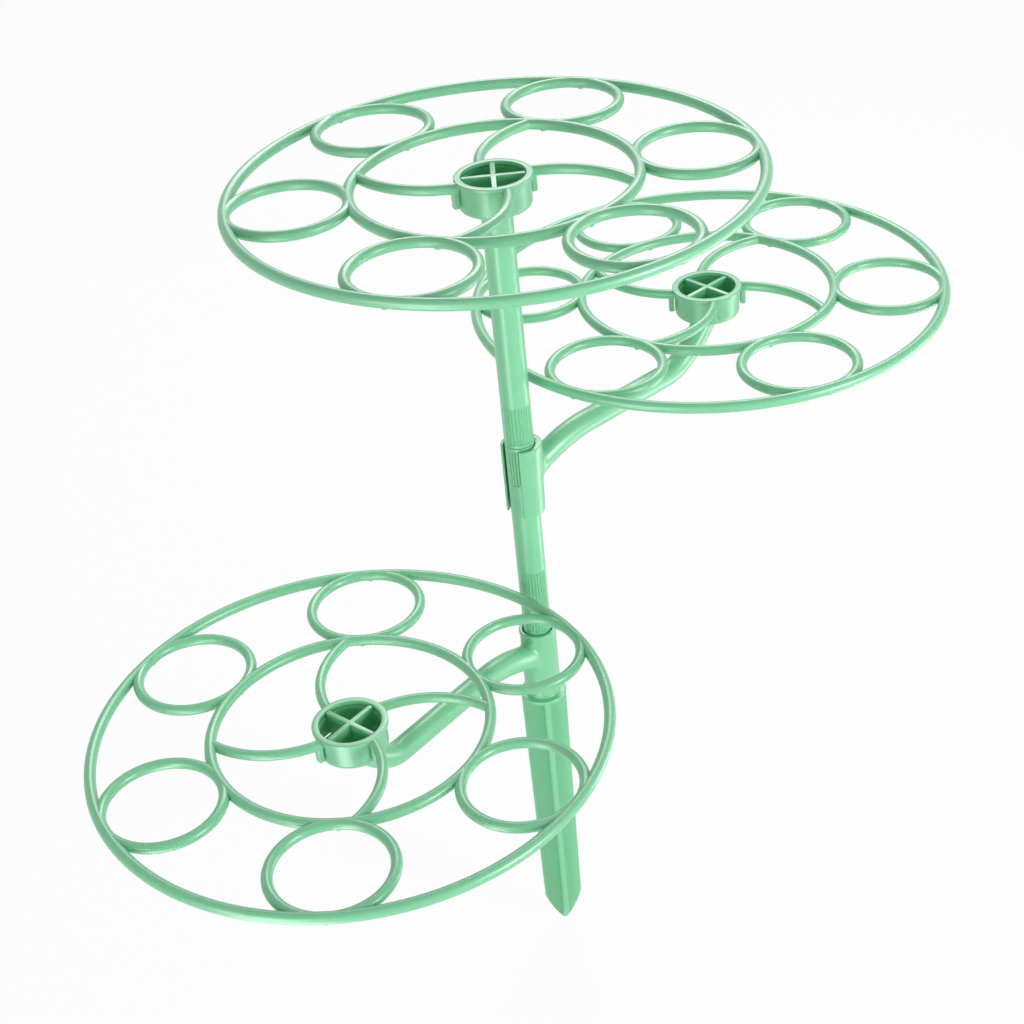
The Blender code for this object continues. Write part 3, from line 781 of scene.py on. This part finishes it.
def fin_outline(sizes):
    """Half widths and heights of a plate, from the point's blunt end up."""
    levels = []
    steps = 10
    for index in range(steps + 1):
        part = index / steps
        straight = sizes.tip_half + (sizes.fin_low - sizes.tip_half) * part
        bulge = sizes.tip_bulge * 4 * part * (1 - part)
        levels.append((straight + bulge, -sizes.fin_length - sizes.tip_length * (1 - part)))
    return levels + [(sizes.fin_top, 0.0), (sizes.fin_top, sizes.disc_thick / 2)]


def fin_plate(sizes, turn):
    """Two fins in one upright plate: a slow taper, then a full point with a blunt end."""
    levels = fin_outline(sizes)
    width, height = levels[0]
    pick()
    bpy.ops.mesh.primitive_plane_add(size=1, location=(0, 0, height))
    plate = bpy.context.object
    plate.scale = (2 * width, sizes.fin_thick, 1)
    settle(plate)
    bpy.ops.object.mode_set(mode="EDIT")
    bpy.ops.mesh.select_all(action="SELECT")
    for next_width, next_height in levels[1:]:
        bpy.ops.mesh.extrude_region_move(TRANSFORM_OT_translate={"value": (0, 0, next_height - height)})
        bpy.ops.transform.resize(value=(next_width / width, 1, 1), center_override=(0, 0, 0))
        width = next_width
        height = next_height
    bpy.ops.object.mode_set(mode="OBJECT")
    clean(plate)
    soften(plate, sizes.fin_edge, segments=4, limit=60)
    return move(plate, (0, 0, 0), turn)


class RACK_OT_ground_stake(Operator):
    """Model the ground stake with its fins, disc, neck, stub and spigot"""

    bl_idname = "rack.ground_stake"
    bl_label = "Ground Stake"

    def execute(self, context):
        sizes = context.scene.rack_pole
        stub_foot_round = 0.0003
        neck_round = 0.0004
        disc_round = 0.0008
        points = pole_points(sizes, sizes.stub_top) + [
            (sizes.pole_r, sizes.neck_top, stub_foot_round),
            (sizes.neck_r, sizes.neck_top, neck_round),
            (sizes.neck_r, sizes.disc_thick, disc_round),
            (sizes.disc_r, sizes.disc_thick, disc_round),
            (sizes.disc_r, 0, disc_round),
            (CORE, 0, 0),
        ]
        body = turned(rounded(points), POLE_SIDES)
        top = sizes.stub_top - sizes.plain_ring
        cut_flutes(body, sizes, top - sizes.stub_grip, top)
        fins = join(fin_plate(sizes, 0), fin_plate(sizes, math.pi / 2))
        join(body, fins)
        move(body, (0, 0, 0), sizes.stake_turn)
        dress(body, "ground_stake", "ground_stake")
        return {"FINISHED"}


# Arms

def arm_rod(sizes, height, root_drop, flare, lift):
    """The round arm along +X: it leaves the pole rising, runs level, then climbs to the cup."""
    cup = bpy.context.scene.rack_cup
    root = Vector((sizes.sleeve_r, 0, height - root_drop))
    root_way = Vector((math.cos(sizes.root_slope), 0, math.sin(sizes.root_slope)))
    cup_way = Vector((math.cos(sizes.cup_slope), 0, math.sin(sizes.cup_slope)))
    foot = Vector((sizes.reach, 0, height + sizes.drop - cup.depth))
    lead = sizes.rod_r * math.tan(sizes.cup_slope / 2)
    level = Vector((1, 0, 0))
    radius = sizes.rod_r
    stations = [
        (root - root_way * radius, root_way, radius, radius, flare),
        (Vector((sizes.root_run, 0, height)), level, sizes.root_ease, radius, 1.0),
        (Vector((lift, 0, height)), level, radius, sizes.lift_ease, 1.0),
        (foot - cup_way * lead, cup_way, sizes.cup_ease, radius, 1.0),
        (foot + cup_way * sizes.into_cup, cup_way, radius / 2, radius, 1.0),
    ]
    return rod_along(stations, radius, fineness=14, steps=24)


def melt(body, sizes, root):
    """Melt the arm into what it grows from, with a wide smooth root."""
    pick(body)
    remesh = body.modifiers.new("Melt", "REMESH")
    remesh.mode = "VOXEL"
    remesh.voxel_size = sizes.grain
    remesh.use_smooth_shade = True
    bpy.ops.object.modifier_apply(modifier=remesh.name)
    group = body.vertex_groups.new(name="Root")
    for vert in body.data.vertices:
        share = (sizes.blend_far - (vert.co - root).length) / (sizes.blend_far - sizes.blend_near)
        if share > 0:
            group.add([vert.index], min(share, 1), "REPLACE")
    for name, rounds in (("Root", sizes.blend_rounds), ("", sizes.even_rounds)):
        smooth = body.modifiers.new("Smooth", "SMOOTH")
        smooth.factor = 0.5
        smooth.iterations = rounds
        smooth.vertex_group = name
        bpy.ops.object.modifier_apply(modifier=smooth.name)
    body.vertex_groups.clear()
    return body


def trim(body, sizes, cup, place, low, high):
    """Trim the ends of the sleeve or clip and the cup's mouth flat."""
    wide = sizes.sleeve_r * 3
    thick = 0.01
    cut(body, block((-wide, -wide, -thick), (wide, wide, low)))
    cut(body, block((-wide, -wide, high), (wide, wide, high + thick)))
    cup_wide = 0.03
    below_rim = 0.0004
    mouth = block((-cup_wide, -cup_wide, cup.rim_top - below_rim), (cup_wide, cup_wide, thick))
    return cut(body, move(mouth, place))


def end_ring(sizes, radius, end, inward, shift=0.0):
    """A short ring with a rounded outer edge, which finishes one end of the sleeve or clip."""
    deep = end + inward * sizes.edge_ring
    into_bore = 0.0005
    inside = sizes.clip_bore - into_bore
    ring_points = rounded([
        (inside, deep, 0),
        (radius, deep, 0),
        (radius, end, sizes.edge_round),
        (inside, end, 0),
    ], closed=True)
    return move(turned(ring_points, POLE_SIDES, closed=True), (shift, 0, 0))


def sleeve_rim(sizes):
    """The rim that stands out a little round the sleeve's upper end."""
    low = sizes.sleeve_length - sizes.sleeve_rim_height
    out = sizes.sleeve_r + sizes.sleeve_rim
    outer_round = 0.0006
    inner_round = 0.0005
    return turned(rounded([
        (sizes.sleeve_bore, low, 0),
        (out, low, CRISP),
        (out, sizes.sleeve_length, outer_round),
        (sizes.sleeve_bore, sizes.sleeve_length, inner_round),
    ], closed=True), POLE_SIDES, closed=True)


class RACK_OT_lower_arm(Operator):
    """Model the lower arm with its sleeve and cup"""

    bl_idname = "rack.lower_arm"
    bl_label = "Lower Arm"

    def execute(self, context):
        sizes = context.scene.rack_arm
        cup = context.scene.rack_cup
        place = (sizes.reach, 0, sizes.sleeve_arm + sizes.drop)
        body = bar(sizes.sleeve_r, -SPARE, sizes.sleeve_length + SPARE, POLE_SIDES)
        join(body, arm_rod(sizes, sizes.sleeve_arm, sizes.sleeve_root, sizes.sleeve_flare, sizes.sleeve_lift))
        join(body, move(cup_outside(cup), place))
        melt(body, sizes, Vector((sizes.sleeve_r, 0, sizes.sleeve_arm - sizes.sleeve_root)))
        trim(body, sizes, cup, place, sizes.edge_round, sizes.sleeve_length - sizes.edge_round)
        join(body, end_ring(sizes, sizes.sleeve_r, 0, 1))
        join(body, sleeve_rim(sizes))
        cut(body, bar(sizes.sleeve_bore, -PAST, sizes.sleeve_length + PAST, POLE_SIDES))
        finish_cup(body, cup, place, 0)
        cut_drain(body, cup, place)
        hub = joint_place("tray_lower")
        move(body, (0, 0, lowest("lower_arm")), math.atan2(hub.y, hub.x))
        dress(body, "lower_arm", "lower_arm")
        return {"FINISHED"}


def clip_core(sizes):
    """The solid round of the snap clip, a little wider and further forward at its top."""
    grown = (sizes.clip_r - sizes.clip_foot_r) / sizes.clip_length
    lean = (sizes.clip_shift - sizes.clip_foot_shift) / sizes.clip_length
    ends = (-SPARE, sizes.clip_length + SPARE)
    core = turned([(sizes.clip_foot_r + grown * end, end) for end in ends], POLE_SIDES)
    for vert in core.data.vertices:
        vert.co.x += sizes.clip_foot_shift + lean * vert.co.z
    return core


def cut_mouth(body, sizes, half_mouth):
    """Cut the clip's mouth with a wedge whose edge lies on the bore's axis."""
    edge = sizes.clip_bore_shift
    side = sizes.clip_r * 2
    spread = side * math.tan(half_mouth)
    corners = [(edge, 0), (edge - side, spread), (edge - side, -spread)]
    pick()
    bpy.ops.mesh.primitive_cylinder_add(vertices=3, radius=1, depth=sizes.clip_length + 2 * PAST)
    wedge = bpy.context.object
    for vert in wedge.data.vertices:
        way = round((math.atan2(vert.co.x, vert.co.y) % (2 * math.pi)) / (2 * math.pi / 3)) % 3
        vert.co.x, vert.co.y = corners[way]
    clean(move(wedge, (0, 0, sizes.clip_length / 2)))
    return cut(body, wedge)


def add_lips(body, sizes, lip_reach, half_mouth):
    """Round both edges of the clip's mouth with an upright bar."""
    lip_core = 0.0001
    for turn in (math.pi - half_mouth, math.pi + half_mouth):
        lip = turned(rounded([
            (lip_core, 0, 0),
            (sizes.lip_r, 0, sizes.edge_round),
            (sizes.lip_r, sizes.clip_length, sizes.edge_round),
            (lip_core, sizes.clip_length, 0),
        ]), SMALL_SIDES)
        at = (sizes.clip_bore_shift + lip_reach * math.cos(turn), lip_reach * math.sin(turn), 0)
        join(body, move(lip, at))
    return body


class RACK_OT_clip_arm(Operator):
    """Model the clip arm with its snap clip and cup"""

    bl_idname = "rack.clip_arm"
    bl_label = "Clip Arm"

    def execute(self, context):
        sizes = context.scene.rack_arm
        cup = context.scene.rack_cup
        place = (sizes.reach, 0, sizes.clip_arm + sizes.drop)
        body = clip_core(sizes)
        join(body, arm_rod(sizes, sizes.clip_arm, sizes.clip_root, sizes.clip_flare, sizes.clip_lift))
        join(body, move(cup_outside(cup), place))
        melt(body, sizes, Vector((sizes.sleeve_r, 0, sizes.clip_arm - sizes.clip_root)))
        trim(body, sizes, cup, place, sizes.edge_round, sizes.clip_length - sizes.edge_round)
        join(body, end_ring(sizes, sizes.clip_foot_r, 0, 1, sizes.clip_foot_shift))
        join(body, end_ring(sizes, sizes.clip_r, sizes.clip_length, -1, sizes.clip_shift))
        bore = bar(sizes.clip_bore, -PAST, sizes.clip_length + PAST, POLE_SIDES)
        cut(body, move(bore, (sizes.clip_bore_shift, 0, 0)))
        lip_reach = sizes.clip_bore + sizes.lip_r
        half_mouth = sizes.clip_mouth / 2 + sizes.lip_r / lip_reach
        cut_mouth(body, sizes, half_mouth)
        add_lips(body, sizes, lip_reach, half_mouth)
        finish_cup(body, cup, place, 0)
        hub = joint_place("tray_middle")
        move(body, (0, 0, lowest("clip_arm")), math.atan2(hub.y, hub.x))
        dress(body, "clip_arm", "clip_arm")
        return {"FINISHED"}


# Studio

def white_to_the_eye(tree, lit, shown):
    """Show one shader to the camera and in reflections, and let the other light the object."""
    path = node_of(tree, "ShaderNodeLightPath")
    seen = None
    for ray in ("Is Camera Ray", "Is Glossy Ray", "Is Transmission Ray"):
        if seen is None:
            seen = path.outputs[ray]
            continue
        either = tree.nodes.new("ShaderNodeMath")
        either.operation = "MAXIMUM"
        tree.links.new(seen, either.inputs[0])
        tree.links.new(path.outputs[ray], either.inputs[1])
        seen = either.outputs[0]
    mix = tree.nodes.new("ShaderNodeMixShader")
    tree.links.new(seen, mix.inputs[0])
    tree.links.new(lit, mix.inputs[1])
    tree.links.new(shown, mix.inputs[2])
    return mix.outputs[0]


def lamp(name, place, target, size, watts, only_sheen=False):
    """A soft lamp that looks at a point, of a given width and height; it may light the sheen alone."""
    pick()
    bpy.ops.object.light_add(type="AREA", location=place)
    item = bpy.context.object
    item.name = name
    item.data.shape = "RECTANGLE"
    item.data.size = size[0]
    item.data.size_y = size[1]
    item.data.energy = watts
    item.visible_camera = False
    item.visible_diffuse = not only_sheen
    way = Vector(target) - Vector(place)
    item.rotation_euler = way.to_track_quat("-Z", "Y").to_euler()
    return item


class RACK_OT_studio(Operator):
    """Set up the floor, the lamps, the pale surroundings and the camera"""

    bl_idname = "rack.studio"
    bl_label = "Studio"

    def execute(self, context):
        scene = context.scene
        studio = scene.rack_studio

        bpy.ops.object.camera_add(location=studio.eye)
        camera = context.object
        camera.name = "Photo camera"
        camera.rotation_euler = (
            Matrix.Rotation(studio.yaw, 3, "Z")
            @ Matrix.Rotation(math.pi / 2 - studio.pitch, 3, "X")
            @ Matrix.Rotation(-studio.roll, 3, "Z")
        ).to_euler()
        camera.data.lens = studio.lens
        camera.data.sensor_width = 36
        camera.data.clip_start = 0.01
        camera.data.clip_end = 50
        scene.camera = camera

        pick()
        height = lowest("ground_stake") - studio.floor_gap
        bpy.ops.mesh.primitive_plane_add(size=2 * studio.floor_half, location=(0, 0, height))
        floor = settle(context.object)
        floor.name = "Floor"
        paint = bpy.data.materials.new("Pale floor")
        paint.use_nodes = True
        tree = paint.node_tree
        out = tree.nodes["Material Output"]
        tree.nodes.remove(tree.nodes["Principled BSDF"])
        matt = node_of(tree, "ShaderNodeBsdfDiffuse", Color=(0.9, 0.9, 0.9, 1))
        glow = node_of(tree, "ShaderNodeEmission", Strength=1.0)
        part = tree.nodes.new("ShaderNodeMixShader")
        part.inputs[0].default_value = studio.floor_glow
        tree.links.new(matt.outputs[0], part.inputs[1])
        tree.links.new(glow.outputs[0], part.inputs[2])
        tree.links.new(white_to_the_eye(tree, matt.outputs[0], part.outputs[0]), out.inputs["Surface"])
        floor.data.materials.append(paint)

        world = bpy.data.worlds.new("Studio air")
        scene.world = world
        world.use_nodes = True
        tree = world.node_tree
        out = tree.nodes["World Output"]
        tree.nodes.remove(tree.nodes["Background"])
        air = node_of(tree, "ShaderNodeBackground", Color=(1, 1, 1, 1), Strength=studio.air)
        white = node_of(tree, "ShaderNodeBackground", Color=(1, 1, 1, 1), Strength=1.0)
        tree.links.new(white_to_the_eye(tree, air.outputs[0], white.outputs[0]), out.inputs["Surface"])

        middle = (0, 0, 0.1)
        lamp("Key lamp", (1.48, -1.04, 0.45), middle, size=(0.50, 0.90), watts=21)
        lamp("Fill lamp", (-1.00, -1.40, 0.30), middle, size=(1.00, 0.80), watts=12)
        lamp("Back lamp", (0.25, 1.35, 1.35), middle, size=(1.20, 0.40), watts=17)
        above = (0, 0, 1.5)
        strip = (0.16, 0.70)
        lamp("Low left strip", (-0.35, -0.56, -0.02), above, strip, watts=1.8, only_sheen=True)
        lamp("Low right strip", (0.70, 0.11, -0.02), above, strip, watts=1.8, only_sheen=True)

        scene.view_settings.view_transform = "Standard"
        return {"FINISHED"}


class RACK_PT_rack(Panel):
    """The steps that build the rack, in order"""

    bl_idname = "RACK_PT_rack"
    bl_label = "Plant Support Rack"
    bl_space_type = "VIEW_3D"
    bl_region_type = "UI"
    bl_category = "Rack"

    def draw(self, context):
        for step in STEPS:
            self.layout.operator(step.bl_idname)


STEPS = (
    RACK_OT_studio,
    RACK_OT_trays,
    RACK_OT_ground_stake,
    RACK_OT_lower_arm,
    RACK_OT_mid_pole,
    RACK_OT_clip_arm,
    RACK_OT_upper_pole,
)

GROUPS = {
    "rack_tray": RackTraySizes,
    "rack_cup": RackCupSizes,
    "rack_pole": RackPoleSizes,
    "rack_arm": RackArmSizes,
    "rack_finish": RackFinish,
    "rack_studio": RackStudio,
}


def register():
    for name, group in GROUPS.items():
        bpy.utils.register_class(group)
        setattr(bpy.types.Scene, name, PointerProperty(type=group))
    for step in STEPS:
        bpy.utils.register_class(step)
    bpy.utils.register_class(RACK_PT_rack)


def unregister():
    bpy.utils.unregister_class(RACK_PT_rack)
    for step in reversed(STEPS):
        bpy.utils.unregister_class(step)
    for name, group in GROUPS.items():
        delattr(bpy.types.Scene, name)
        bpy.utils.unregister_class(group)


def main():
    """Build everything in order."""
    register()
    bpy.ops.rack.studio()
    bpy.ops.rack.trays()
    bpy.ops.rack.ground_stake()
    bpy.ops.rack.lower_arm()
    bpy.ops.rack.mid_pole()
    bpy.ops.rack.clip_arm()
    bpy.ops.rack.upper_pole()


if __name__ == "__main__":
    main()
